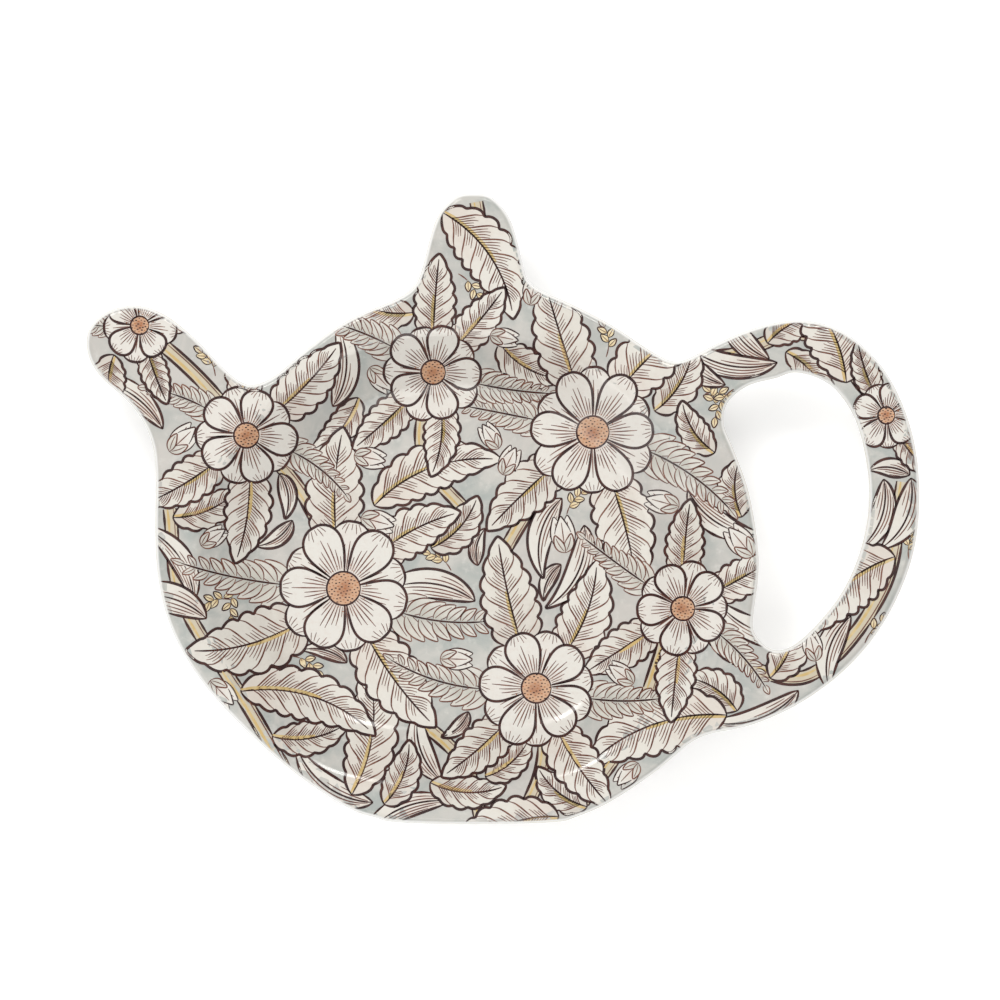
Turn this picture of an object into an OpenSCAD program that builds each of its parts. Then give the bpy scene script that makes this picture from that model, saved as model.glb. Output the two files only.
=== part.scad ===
// Tea bag rest: a shallow moulded dish in the outline of a teapot, with a printed foil fused into its top.
// Units are millimetres. +X points to the handle, +Y to the knob, +Z up.
// The origin lies under the middle of the whole outline, on the surface that the dish stands on.

/* [Pot] */
// Width of the pot, from the spout's side to the handle's side, as if its round went on under the handle
pot_w = 96.6; // [80:0.2:130]
// Depth of the pot, from its flat base line to its top under the knob
pot_d = 80.1; // [66:0.1:110]
// Length of the flat base line
base_w = 28; // [20:0.5:36]

/* [Spout] */
// How far the spout's tip reaches past the side of the pot
spout_reach = 10.1; // [7:0.1:14]
// Height of the spout's top above the middle of the pot
spout_top = 37.8; // [34:0.1:41]

/* [Knob] */
// Width of the knob halfway up
knob_w = 12.4; // [9:0.1:16]
// Height of the knob above the pot
knob_h = 14.2; // [10:0.1:20]
// How far the middle of the knob lies from the middle of the pot, towards the spout
knob_shift = 0.3; // [0:0.1:3]

/* [Handle] */
// Width of the handle, from its root line to its outer edge
handle_w = 36; // [30:0.5:44]
// Depth of the handle, from its top to its foot
handle_d = 61.5; // [56:0.5:66]
// How far the handle's outer edge lies past the side of the pot
handle_reach = 18.3; // [12:0.1:26]
// How far the middle of the handle lies above the middle of the pot
handle_rise = 4.7; // [3:0.1:7]
// How far the finger opening reaches into the pot's round
opening_in = 11.5; // [9:0.1:12]
// Breadth of the handle beside the opening
handle_side = 7.3; // [5:0.1:9]
// Breadth of the handle above the opening
handle_over = 7.8; // [6:0.1:10]
// Breadth of the handle below the opening
handle_under = 11.5; // [10:0.1:16]

/* [Rim and well] */
// Height of the melamine rim above the table
rim_h = 9.85; // [8.4:0.05:14]
// Thickness of the moulding
wall = 2.4; // [1.8:0.1:2.8]
// Breadth of the rim on both sides of the well, before the well is shifted
rim_side = 8.3; // [7.8:0.1:14]
// Breadth of the rim before and behind the well, before the well is shifted
rim_end = 4.65; // [4.4:0.05:9]
// How far the middle of the well lies from the middle of the pot, towards the spout
well_shift = 3.1; // [2:0.1:4.5]
// How far the middle of the well lies from the middle of the pot, towards the base line
well_drop = 0.6; // [0:0.1:1.2]
// How far down the well's floor lies below the rim
well_sink = 6.6; // [5:0.1:7.2]
// Slope of the well's wall in degrees
wall_angle = 36; // [30:1:50]
// Radius of the rounded lip
lip_r = 3.2; // [2.9:0.1:5]
// Radius of the bend from the wall into the floor
floor_r = 5; // [3:0.1:7]

/* [Edges] */
// Radius of the rim's upper edge
edge_r = 0.9; // [0.5:0.05:1]
// Radius of the rim's lower edge
under_r = 0.7; // [0.3:0.05:0.8]

/* [Foot] */
// Width of the ring that the dish stands on
foot_w = 1.8; // [1.2:0.1:2.6]
// Radius of the foot's edges
foot_r = 0.35; // [0.2:0.05:0.4]
// How far the foot's inner side lies past the bend into the floor
foot_in = 0.6; // [0.2:0.1:1.2]

/* [Print foil] */
// Thickness of the printed foil
foil_t = 0.15; // [0.1:0.01:0.3]

/* [Hidden] */

// Steps from one outline point to the next, and in each round of a profile
outline_steps = 3;
opening_steps = 3;
well_steps = 4;
edge_steps = 5;
under_steps = 3;
lip_steps = 4;
floor_steps = 4;

// Width of the flat margin between the foot ring and the plain middle of the floor
floor_margin = 0.6;

// How far the edges and the well reach into the flat sheets beside them, so that they fuse to one solid
lap = 0.3;

well_w = pot_w - 2 * rim_side;
well_d = pot_d - 2 * rim_end;
floor_z = rim_h - well_sink;
wall_slant = (well_sink - (lip_r + floor_r) * (1 - cos(wall_angle))) / sin(wall_angle);
well_run = (lip_r + floor_r) * sin(wall_angle) + wall_slant * cos(wall_angle);
foot_inner = well_run + foot_in;
foot_outer = foot_inner - foot_w;
floor_start = foot_inner + floor_margin;

// The knob's right half, as shares of half its width and of its height
knob_shares = [[0, 1], [0.405, 0.974], [0.837, 0.776], [1.032, 0.55], [1.195, 0.265], [1.365, 0.05]];

// The pot's left shoulder, as shares of its half width and half depth, and its right one, which ends at the
// handle: shares of the handle root's distance from the middle, and of the half depth
shoulder_shares = [[0.226, 0.969], [0.395, 0.881], [0.553, 0.742]];
shoulder_root_shares = [[0.46, 0.944], [0.675, 0.859], [0.876, 0.757]];

// The outside of the handle, as shares of its width and half depth
handle_shares = [
    [-0.007, 0.788], [0.136, 0.866], [0.298, 0.949], [0.502, 0.995], [0.681, 0.94], [0.844, 0.772],
    [0.955, 0.51], [1, 0.229], [0.988, -0.081], [0.928, -0.312], [0.823, -0.537], [0.679, -0.727],
    [0.494, -0.883], [0.286, -0.989], [0.081, -1.042]
];

// The pot's underside, on the left and at the handle's foot, in the same shares as the shoulders
underside_shares = [[0.573, -0.805], [0.379, -0.958]];
underside_root_shares = [[0.901, -0.803], [0.64, -0.935]];

// The right end of the base line: shares of half its length along x, and of half the pot's depth
base_shares = [[1.06, -0.984], [0.92, -1]];

// The pot's left side, from the base up to the spout, as shares of its half width and half depth
side_shares = [
    [0.752, -0.606], [0.862, -0.453], [0.947, -0.27], [0.987, -0.074], [0.994, 0.132],
    [0.992, 0.293]
];

// The spout from its underside round its tip, as shares of its reach and of its top
spout_shares = [
    [0.018, 0.447], [0.219, 0.559], [0.454, 0.63], [0.782, 0.706], [0.975, 0.797], [0.967, 0.89],
    [0.71, 0.962], [0.272, 0.992]
];

// The spout's upper side, as shares of the pot's half width and of the spout's top, and the dip behind it,
// as shares of the pot's half width and half depth
neck_shares = [[0.969, 0.957], [0.906, 0.899], [0.836, 0.815]];
dip_shares = [[0.774, 0.69], [0.702, 0.635], [0.622, 0.67]];

// The finger opening, as shares of half its width and half its depth
opening_shares = [
    [-0.012, 0.99], [0.458, 0.906], [0.759, 0.702], [0.903, 0.477], [0.99, 0.132], [0.906, -0.217],
    [0.668, -0.539], [0.325, -0.785], [-0.057, -0.966], [-0.315, -0.986], [-0.56, -0.854],
    [-0.549, -0.69], [-0.483, -0.379], [-0.558, -0.032], [-0.655, 0.2], [-0.857, 0.481],
    [-0.956, 0.62], [-0.914, 0.768], [-0.624, 0.898], [-0.256, 0.947]
];

// The right half of the well's lip, as shares of its half width and half depth
well_shares = [
    [0.31, 0.955], [0.57, 0.805], [0.79, 0.575], [0.945, 0.3], [1, 0], [0.94, -0.335], [0.775, -0.655],
    [0.53, -0.905], [0.28, -0.985]
];

function flip(p) = [-p.x, p.y];
function back_to_front(list) = [for (i = [len(list) - 1 : -1 : 0]) list[i]];
function place(shares, size, at = [0, 0]) = [for (s = shares) [at.x + s.x * size.x, at.y + s.y * size.y]];
function mirrored(list) = back_to_front([for (p = list) flip(p)]);

// A smooth closed curve through points p, with k steps from each point to the next
function slope_at(a, b, c) =
    let (u = sqrt(norm(b - a)), v = sqrt(norm(c - b))) (b - a) / u - (c - a) / (u + v) + (c - b) / v;
function span_point(a, b, c, d, t) =
    let (v = sqrt(norm(c - b)), m = slope_at(a, b, c) * v, n = slope_at(b, c, d) * v)
    (2 * t ^ 3 - 3 * t ^ 2 + 1) * b + (t ^ 3 - 2 * t ^ 2 + t) * m
    + (3 * t ^ 2 - 2 * t ^ 3) * c + (t ^ 3 - t ^ 2) * n;
function curve_through(p, k) =
    let (n = len(p)) [
        for (i = [0 : n - 1]) for (j = [0 : k - 1])
            span_point(p[(i + n - 1) % n], p[i], p[(i + 1) % n], p[(i + 2) % n], j / k)
    ];
function evened(p) =
    let (n = len(p)) [for (i = [0 : n - 1]) (p[(i + n - 1) % n] + 4 * p[i] + p[(i + 1) % n]) / 6];

// A closed curve that runs clockwise, moved to its right by d at every point
function right_of(a, b) = let (t = (b - a) / norm(b - a)) [t.y, -t.x];
function inset(p, d) =
    let (n = len(p)) [for (i = [0 : n - 1]) p[i] + d * right_of(p[(i + n - 1) % n], p[(i + 1) % n])];

// The outline runs clockwise from the top of the knob, about the middle of the pot
pot_half = [pot_w / 2, pot_d / 2];
knob_size = [knob_w / 2, knob_h];
knob_at = [-knob_shift, pot_d / 2];
knob_right = place(knob_shares, knob_size, knob_at);
handle_root = pot_w / 2 + handle_reach - handle_w;
root_half = [handle_root, pot_d / 2];
shoulder_right = place(shoulder_root_shares, root_half);
handle_right = place(handle_shares, [handle_w, handle_d / 2], [handle_root, handle_rise]);
underside_right = place(underside_root_shares, root_half);
base_right = place(base_shares, [base_w / 2, pot_d / 2]);
underside_left = mirrored(place(underside_shares, pot_half));
side_left = [for (p = place(side_shares, pot_half)) flip(p)];
spout_left = concat(
    place(spout_shares, [-spout_reach, spout_top], [-pot_w / 2, 0]),
    place(neck_shares, [-pot_w / 2, spout_top]), place(dip_shares, [-pot_w / 2, pot_d / 2])
);
shoulder_left = mirrored(place(shoulder_shares, pot_half));
knob_left = [for (i = [len(knob_right) - 1 : -1 : 1]) flip(knob_right[i]) - [2 * knob_shift, 0]];
outline_points = concat(
    knob_right, shoulder_right, handle_right, underside_right, base_right,
    mirrored(base_right), underside_left, side_left, spout_left, shoulder_left, knob_left
);
pot_outline = evened(curve_through(outline_points, outline_steps));

// The origin is moved under the middle of the outline's box
xs = [for (p = pot_outline) p.x];
ys = [for (p = pot_outline) p.y];
middle = [(min(xs) + max(xs)) / 2, (min(ys) + max(ys)) / 2];
function centred(list) = [for (p = list) p - middle];

opening_w = handle_reach + opening_in - handle_side;
opening_d = handle_d - handle_over - handle_under;
opening_at = [
    pot_w / 2 + handle_reach - handle_side - opening_w / 2,
    handle_rise + handle_d / 2 - handle_over - opening_d / 2
];
opening_points = place(opening_shares, [opening_w / 2, opening_d / 2], opening_at);
well_half = [well_w / 2, well_d / 2];
well_right = place(well_shares, well_half);
well_points = [
    for (p = concat([[0, well_d / 2]], well_right, [[0, -well_d / 2]], mirrored(well_right)))
        p - [well_shift, well_drop]
];

outline = centred(pot_outline);
opening = centred(evened(curve_through(opening_points, opening_steps)));
lip = centred(evened(curve_through(well_points, well_steps)));

// The well's profile from the lip down to the floor, as far under the top face as t:
// each point is a distance inwards from the lip, and a height
function well_profile(t) = concat(
    [for (k = [0 : lip_steps]) let (a = wall_angle * k / lip_steps)
        [(lip_r - t) * sin(a), rim_h - lip_r + (lip_r - t) * cos(a)]],
    [for (k = [0 : floor_steps]) let (a = wall_angle * (1 - k / floor_steps))
        [well_run - (floor_r + t) * sin(a), floor_z + floor_r - (floor_r + t) * cos(a)]]
);

// The part of the underside that lies outside the foot ring, and the foot ring itself
under_profile = [for (p = well_profile(wall)) if (p.x < foot_outer - foot_r) p];
foot_profile = [
    [foot_outer, foot_r], [foot_outer + foot_r, 0], [foot_inner - foot_r, 0], [foot_inner, foot_r],
    [foot_inner, floor_z - wall], [floor_start, floor_z - wall]
];
dish_profile = concat(
    [[-lap, rim_h]], well_profile(0), [[floor_start, floor_z]],
    back_to_front(concat([[-lap, rim_h - wall]], under_profile, foot_profile))
);
foil_profile = concat(
    [[-lap, rim_h + foil_t]], well_profile(-foil_t), [[floor_start, floor_z + foil_t]],
    back_to_front(concat([[-lap, rim_h]], well_profile(0), [[floor_start, floor_z]]))
);

// The rim's rounded edge, from the flat underside round the outside to the flat top
edge_profile = concat(
    [[edge_r + lap, rim_h - wall]],
    [for (k = [0 : under_steps]) let (a = 90 * k / under_steps)
        [under_r - under_r * sin(a), rim_h - wall + under_r - under_r * cos(a)]],
    [for (k = [0 : edge_steps]) let (a = 90 * k / edge_steps)
        [edge_r - edge_r * cos(a), rim_h - edge_r + edge_r * sin(a)]],
    [[edge_r + lap, rim_h]]
);

// A closed profile carried round a closed path, as one closed skin of triangles
module band(path, profile, side = 1) {
    n = len(path);
    m = len(profile);
    rings = [for (q = profile) for (p = inset(path, side * q.x)) [p.x, p.y, q.y]];
    skin = [
        for (j = [0 : m - 1]) for (i = [0 : n - 1])
            let (
                a = j * n + i, b = j * n + (i + 1) % n,
                c = (j + 1) % m * n + (i + 1) % n, d = (j + 1) % m * n + i
            )
            each side > 0 ? [[a, b, c], [a, c, d]] : [[c, b, a], [d, c, a]]
    ];
    polyhedron(rings, skin);
}

// A flat sheet of the rim with the spout, the knob and the handle, open at the well and at the handle
module rim_sheet(z, t) {
    translate([0, 0, z])
        linear_extrude(t)
            difference() {
                polygon(inset(outline, edge_r));
                polygon(lip);
                polygon(inset(opening, -edge_r));
            }
}

module floor_sheet(z, t) {
    translate([0, 0, z])
        linear_extrude(t)
            polygon(inset(lip, floor_start - lap));
}

module dish() {
    color("ivory")
        union() {
            rim_sheet(rim_h - wall, wall);
            band(outline, edge_profile);
            band(opening, edge_profile, -1);
            band(lip, dish_profile);
            floor_sheet(floor_z - wall, wall);
        }
}

module print_foil() {
    color([0.78, 0.76, 0.71])
        union() {
            rim_sheet(rim_h, foil_t);
            band(lip, foil_profile);
            floor_sheet(floor_z, foil_t);
        }
}

dish();
print_foil();
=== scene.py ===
"""Tea bag rest: a glossy moulded dish in the outline of a teapot, with a printed foil fused into its top.

Lengths are in millimetres up to the step that makes each mesh, which turns them into metres.
Outline, opening and lip repeat the CAD model's named values, so that every piece lies on its solids.
"""

import math
import random
from collections import namedtuple

import bpy
import numpy as np
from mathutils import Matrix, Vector
from mathutils.geometry import delaunay_2d_cdt
from mathutils.kdtree import KDTree


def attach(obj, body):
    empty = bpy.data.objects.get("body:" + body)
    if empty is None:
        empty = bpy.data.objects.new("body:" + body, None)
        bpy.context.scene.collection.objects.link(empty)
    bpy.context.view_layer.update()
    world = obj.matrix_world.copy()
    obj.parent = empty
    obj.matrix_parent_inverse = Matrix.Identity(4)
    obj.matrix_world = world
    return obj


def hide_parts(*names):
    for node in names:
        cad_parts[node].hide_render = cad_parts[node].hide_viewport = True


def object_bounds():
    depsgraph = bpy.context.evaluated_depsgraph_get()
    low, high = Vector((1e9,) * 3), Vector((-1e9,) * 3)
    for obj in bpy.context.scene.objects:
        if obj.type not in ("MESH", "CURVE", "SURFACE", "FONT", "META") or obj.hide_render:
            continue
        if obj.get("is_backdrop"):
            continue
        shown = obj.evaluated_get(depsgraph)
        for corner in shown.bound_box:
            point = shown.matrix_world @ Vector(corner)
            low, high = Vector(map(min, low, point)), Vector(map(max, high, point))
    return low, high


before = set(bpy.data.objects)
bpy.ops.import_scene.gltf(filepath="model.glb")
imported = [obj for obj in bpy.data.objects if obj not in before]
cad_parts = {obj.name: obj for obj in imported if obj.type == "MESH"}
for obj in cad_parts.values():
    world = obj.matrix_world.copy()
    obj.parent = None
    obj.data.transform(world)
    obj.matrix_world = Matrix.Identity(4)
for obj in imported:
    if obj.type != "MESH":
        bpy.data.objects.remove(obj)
cad_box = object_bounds()

scene = bpy.context.scene
MM = 0.001

# Sizes, as in the CAD model

POT_W, POT_D, BASE_W = 96.6, 80.1, 28
SPOUT_REACH, SPOUT_TOP = 10.1, 37.8
KNOB_W, KNOB_H, KNOB_SHIFT = 12.4, 14.2, 0.3
HANDLE_W, HANDLE_D, HANDLE_REACH, HANDLE_RISE = 36, 61.5, 18.3, 4.7
OPENING_IN, HANDLE_SIDE, HANDLE_OVER, HANDLE_UNDER = 11.5, 7.3, 7.8, 11.5
RIM_H, WALL = 9.85, 2.4
RIM_SIDE, RIM_END, WELL_SHIFT, WELL_DROP = 8.3, 4.65, 3.1, 0.6
WELL_SINK, WALL_ANGLE, LIP_R, FLOOR_R = 6.6, math.radians(36), 3.2, 5
EDGE_R, UNDER_R = 0.9, 0.7
FOOT_W, FOOT_R, FOOT_IN = 1.8, 0.35, 0.6

KNOB = [(0, 1), (0.405, 0.974), (0.837, 0.776), (1.032, 0.55), (1.195, 0.265), (1.365, 0.05)]
SHOULDER = [(0.226, 0.969), (0.395, 0.881), (0.553, 0.742)]
SHOULDER_ROOT = [(0.46, 0.944), (0.675, 0.859), (0.876, 0.757)]
HANDLE = [
    (-0.007, 0.788), (0.136, 0.866), (0.298, 0.949), (0.502, 0.995), (0.681, 0.94), (0.844, 0.772),
    (0.955, 0.51), (1, 0.229), (0.988, -0.081), (0.928, -0.312), (0.823, -0.537), (0.679, -0.727),
    (0.494, -0.883), (0.286, -0.989), (0.081, -1.042),
]
UNDERSIDE = [(0.573, -0.805), (0.379, -0.958)]
UNDERSIDE_ROOT = [(0.901, -0.803), (0.64, -0.935)]
BASE = [(1.06, -0.984), (0.92, -1)]
SIDE = [
    (0.752, -0.606), (0.862, -0.453), (0.947, -0.27), (0.987, -0.074), (0.994, 0.132),
    (0.992, 0.293),
]
SPOUT = [
    (0.018, 0.447), (0.219, 0.559), (0.454, 0.63), (0.782, 0.706), (0.975, 0.797), (0.967, 0.89),
    (0.71, 0.962), (0.272, 0.992),
]
NECK = [(0.969, 0.957), (0.906, 0.899), (0.836, 0.815)]
DIP = [(0.774, 0.69), (0.702, 0.635), (0.622, 0.67)]
OPENING = [
    (-0.012, 0.99), (0.458, 0.906), (0.759, 0.702), (0.903, 0.477), (0.99, 0.132), (0.906, -0.217),
    (0.668, -0.539), (0.325, -0.785), (-0.057, -0.966), (-0.315, -0.986), (-0.56, -0.854),
    (-0.549, -0.69), (-0.483, -0.379), (-0.558, -0.032), (-0.655, 0.2), (-0.857, 0.481),
    (-0.956, 0.62), (-0.914, 0.768), (-0.624, 0.898), (-0.256, 0.947),
]
LIP = [
    (0.31, 0.955), (0.57, 0.805), (0.79, 0.575), (0.945, 0.3), (1, 0), (0.94, -0.335), (0.775, -0.655),
    (0.53, -0.905), (0.28, -0.985),
]

# Closed curves, all clockwise


def place(shares, size, at=(0, 0)):
    """Points from shares of a size, counted from a place."""
    return [(at[0] + x * size[0], at[1] + y * size[1]) for x, y in shares]


def mirrored(points):
    return [(-x, y) for x, y in reversed(points)]


def norms(vectors):
    return np.linalg.norm(vectors, axis=1)


def grid(xs, ys):
    """All points with one of these x and one of these y."""
    x, y = np.meshgrid(xs, ys)
    return np.column_stack([x.ravel(), y.ravel()])


def raised(xy, z):
    """Points in the plane with a height, or each with its own."""
    return np.column_stack([xy, np.broadcast_to(z, len(xy))])


def curve_through(points, steps):
    """A smooth closed curve through the points, with a number of steps from each to the next."""
    b = np.array(points, float)
    a, c, d = np.roll(b, 1, 0), np.roll(b, -1, 0), np.roll(b, -2, 0)

    def slope_at(a, b, c):
        u, v = np.sqrt(norms(b - a))[:, None], np.sqrt(norms(c - b))[:, None]
        return (b - a) / u - (c - a) / (u + v) + (c - b) / v

    v = np.sqrt(norms(c - b))[:, None]
    m, n = slope_at(a, b, c) * v, slope_at(b, c, d) * v
    t = (np.arange(steps) / steps)[None, :, None]
    b, c, m, n = b[:, None], c[:, None], m[:, None], n[:, None]
    at_b, at_c = 2 * t**3 - 3 * t**2 + 1, 3 * t**2 - 2 * t**3
    from_b, from_c = t**3 - 2 * t**2 + t, t**3 - t**2
    return (at_b * b + from_b * m + at_c * c + from_c * n).reshape(-1, 2)


def evened(p):
    """The closed curve with each point drawn a little to its neighbours."""
    return (np.roll(p, 1, 0) + 4 * p + np.roll(p, -1, 0)) / 6


def rightward(path):
    """The unit vector to the right of the path at each of its points."""
    t = np.roll(path, -1, 0) - np.roll(path, 1, 0)
    t /= norms(t)[:, None]
    return np.stack([t[:, 1], -t[:, 0]], 1)


def inset(path, d):
    return path + d * rightward(path)


def pot_outline():
    half = (POT_W / 2, POT_D / 2)
    knob = place(KNOB, (KNOB_W / 2, KNOB_H), (-KNOB_SHIFT, POT_D / 2))
    root = POT_W / 2 + HANDLE_REACH - HANDLE_W
    shoulder = place(SHOULDER_ROOT, (root, POT_D / 2))
    underside = place(UNDERSIDE_ROOT, (root, POT_D / 2))
    base = place(BASE, (BASE_W / 2, POT_D / 2))
    handle = place(HANDLE, (HANDLE_W, HANDLE_D / 2), (root, HANDLE_RISE))
    side = place(SIDE, (-POT_W / 2, POT_D / 2))
    spout = place(SPOUT, (-SPOUT_REACH, SPOUT_TOP), (-POT_W / 2, 0))
    spout += place(NECK, (-POT_W / 2, SPOUT_TOP)) + place(DIP, (-POT_W / 2, POT_D / 2))
    knob_left = [(-x - 2 * KNOB_SHIFT, y) for x, y in reversed(knob[1:])]
    points = (
        knob + shoulder + handle + underside + base
        + mirrored(base) + mirrored(place(UNDERSIDE, half)) + side
        + spout + mirrored(place(SHOULDER, half)) + knob_left
    )
    return evened(curve_through(points, 3))


def finger_opening():
    half_w = (HANDLE_REACH + OPENING_IN - HANDLE_SIDE) / 2
    half_d = (HANDLE_D - HANDLE_OVER - HANDLE_UNDER) / 2
    x = POT_W / 2 + HANDLE_REACH - HANDLE_SIDE - half_w
    y = HANDLE_RISE + HANDLE_D / 2 - HANDLE_OVER - half_d
    return evened(curve_through(place(OPENING, (half_w, half_d), (x, y)), 3))


def well_lip():
    half_w, half_d = POT_W / 2 - RIM_SIDE, POT_D / 2 - RIM_END
    right = place(LIP, (half_w, half_d))
    points = [(0, half_d)] + right + [(0, -half_d)] + mirrored(right)
    return evened(curve_through([(x - WELL_SHIFT, y - WELL_DROP) for x, y in points], 4))


coarse = pot_outline()
middle = (coarse.min(0) + coarse.max(0)) / 2
outline = curve_through(coarse - middle, 3)
opening = curve_through(finger_opening() - middle, 4)
lip = curve_through(well_lip() - middle, 4)


def edges_in(d):
    """The outer edge and the opening's edge, drawn into the dish by a distance."""
    return [inset(outline, d), inset(opening, -d)]


# The top face as a height field

FLOOR_Z = RIM_H - WELL_SINK
WALL_SIN, WALL_COS = math.sin(WALL_ANGLE), math.cos(WALL_ANGLE)
WALL_SLANT = (WELL_SINK - (LIP_R + FLOOR_R) * (1 - WALL_COS)) / WALL_SIN
WELL_RUN = (LIP_R + FLOOR_R) * WALL_SIN + WALL_SLANT * WALL_COS

# The foil's own thickness and how deep its back sits, and how high the print's fills and lines lie on it
FOIL_BODY, FOIL_SINK = 0.12, 0.002
FILL_LIFT, LINE_LIFT = 0.014, 0.028
# Areas (mm2) below which these are left out: a body's triangle, the print's triangle, a patch of a fill
NO_AREA, LEAST_TRIANGLE, LEAST_PATCH = 1e-9, 1e-5, 0.02
# Distances from the edge: where the foil begins, where it is fully thick, and where the print begins
FOIL_START, FOIL_FULL, PRINT_START = 0.18, 1.0, 0.28
# The step over which a slope is taken, and by how much a point on an edge may miss it
HAIR = 0.01
# Below this distance the triangulation takes two points for one
SAME_POINT = 1e-6


def well_height(d, t):
    """Height of the well's face at a distance d inside its lip, as far above the moulding as t."""
    top, foot = LIP_R + t, FLOOR_R - t
    x1, z1 = top * WALL_SIN, RIM_H - LIP_R + top * WALL_COS
    x2 = WELL_RUN - foot * WALL_SIN
    lip_arc = RIM_H - LIP_R + np.sqrt(np.maximum(top**2 - d**2, 0))
    wall = z1 - (d - x1) * math.tan(WALL_ANGLE)
    floor_arc = FLOOR_Z + FLOOR_R - np.sqrt(np.maximum(foot**2 - (WELL_RUN - d) ** 2, 0))
    return np.select([d < x1, d < x2, d < WELL_RUN], [lip_arc, wall, floor_arc], FLOOR_Z + t)


def rim_height(d, t):
    """Height of the rim at a distance d inside the outer edge or the opening's edge."""
    rise = np.clip((d - FOIL_START) / (FOIL_FULL - FOIL_START), 0, 1)
    arc = RIM_H - EDGE_R + np.sqrt(np.maximum(EDGE_R**2 - np.maximum(EDGE_R - d, 0) ** 2, 0))
    return arc + t * rise * rise * (3 - 2 * rise)


def gap_to(path, points):
    """Distance of each point from the path, positive on its right, and the way in which it grows."""
    tree = KDTree(len(path))
    for i, (x, y) in enumerate(path):
        tree.insert((x, y, 0), i)
    tree.balance()
    corner = np.array([tree.find((x, y, 0))[1] for x, y in points])
    sides = []
    for start in (corner - 1, corner):
        a, b = path[start], path[(start + 1) % len(path)]
        ab = b - a
        t = np.clip(((points - a) * ab).sum(1) / (ab**2).sum(1), 0, 1)
        off = points - (a + t[:, None] * ab)
        d = norms(off)
        right = np.column_stack([ab[:, 1], -ab[:, 0]]) / norms(ab)[:, None]
        sign = np.where((off * right).sum(1) < 0, -1, 1)
        way = np.where(d[:, None] > 1e-3, sign[:, None] * off / np.maximum(d, 1e-9)[:, None], right)
        sides.append((d, d * sign, way))
    (d, gap, way), (next_d, next_gap, next_way) = sides
    nearer = next_d < d
    return np.where(nearer, next_gap, gap), np.where(nearer[:, None], next_way, way)


def edge_gap(points):
    """Distance inside the nearer of the outer edge and the opening's edge, and the way it grows."""
    outer, outer_way = gap_to(outline, points)
    inner, inner_way = gap_to(opening, points)
    nearer = -inner < outer
    return np.where(nearer, -inner, outer), np.where(nearer[:, None], -inner_way, outer_way)


def top_face(points, t=FOIL_BODY):
    """Heights and upward normals of the foil's face at these points, and their distance from the edge."""
    well, well_way = gap_to(lip, points)
    edge, edge_way = edge_gap(points)
    in_well = well > 0
    d, way = np.where(in_well, well, edge), np.where(in_well[:, None], well_way, edge_way)

    def height(d):
        return np.where(in_well, well_height(np.maximum(d, 0), t), rim_height(np.maximum(d, 0), t))

    fall = (height(d - HAIR) - height(d + HAIR)) / (2 * HAIR)
    normals = raised(fall[:, None] * way, 1)
    return height(d), normals / norms(normals)[:, None], edge


# Meshes


def show(name, data):
    """A new thing in the scene."""
    thing = bpy.data.objects.new(name, data)
    scene.collection.objects.link(thing)
    return thing


def link(name, mesh, material):
    """A piece of the dish, which rides on its one body."""
    piece = show(name, mesh)
    mesh.materials.append(material)
    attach(piece, "root")
    return piece


def make_mesh(name, verts, faces, normals):
    """A smooth mesh from points in millimetres, with the normals given for its points."""
    mesh = bpy.data.meshes.new(name)
    mesh.from_pydata((np.asarray(verts) * MM).tolist(), [], faces)
    mesh.polygons.foreach_set("use_smooth", [True] * len(mesh.polygons))
    mesh.normals_split_custom_set_from_vertices(np.asarray(normals).tolist())
    return mesh


def add_value(mesh, name, values, domain="POINT"):
    mesh.attributes.new(name, "FLOAT", domain).data.foreach_set("value", np.asarray(values, np.float32))


def inside(polygon, points):
    """Whether each point lies in the polygon."""
    x, y = points[:, :1], points[:, 1:]
    x1, y1 = polygon.T
    x2, y2 = np.roll(x1, -1), np.roll(y1, -1)
    crossed = ((y1 > y) != (y2 > y)) & (x < (x2 - x1) * (y - y1) / (y2 - y1 + 1e-12) + x1)
    return crossed.sum(1) % 2 == 1


def turned_up(xy, tris):
    """The triangles, all turned to face up, and their areas."""
    a, b, c = xy[tris].transpose(1, 2, 0)
    area = ((b - a)[0] * (c - a)[1] - (b - a)[1] * (c - a)[0]) / 2
    tris[area < 0] = tris[area < 0][:, ::-1]
    return tris, np.abs(area)


def patches(tris):
    """For each triangle the number of the patch it is in. Triangles of a patch join along sides."""
    sides = np.sort(tris[:, [0, 1, 1, 2, 2, 0]].reshape(-1, 2), axis=1)
    side = np.unique(sides, axis=0, return_inverse=True)[1].reshape(-1, 3)
    patch = np.arange(len(tris))
    while True:
        lowest = np.full(side.max() + 1, len(tris))
        np.minimum.at(lowest, side.ravel(), np.repeat(patch, 3))
        joined = lowest[side].min(1)
        joined = np.minimum(joined, joined[joined])
        if (joined == patch).all():
            return patch
        patch = joined


def ring(start, n):
    """The sides of a closed loop of n points, counted from a start."""
    return [(start + i, start + (i + 1) % n) for i in range(n)]


def triangulate(loops, spare, keep):
    """Triangles between closed loops and through spare points. keep says which of their middles count."""
    points = [Vector(p) for loop in loops for p in loop] + [Vector(p) for p in spare]
    edges, start = [], 0
    for loop in loops:
        edges += ring(start, len(loop))
        start += len(loop)
    verts, _, faces, *_ = delaunay_2d_cdt(points, edges, [], 0, SAME_POINT)
    xy, tris = np.array(verts, float), np.array(faces)
    tris = tris[keep(xy[tris].mean(1))]
    used, tris = np.unique(tris, return_inverse=True)
    tris, area = turned_up(xy[used], tris.reshape(-1, 3))
    return xy[used], tris[area > NO_AREA]


# A shell's points are one point where they agree to this part of a millimetre.
WELD_PARTS = 1e4


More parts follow.
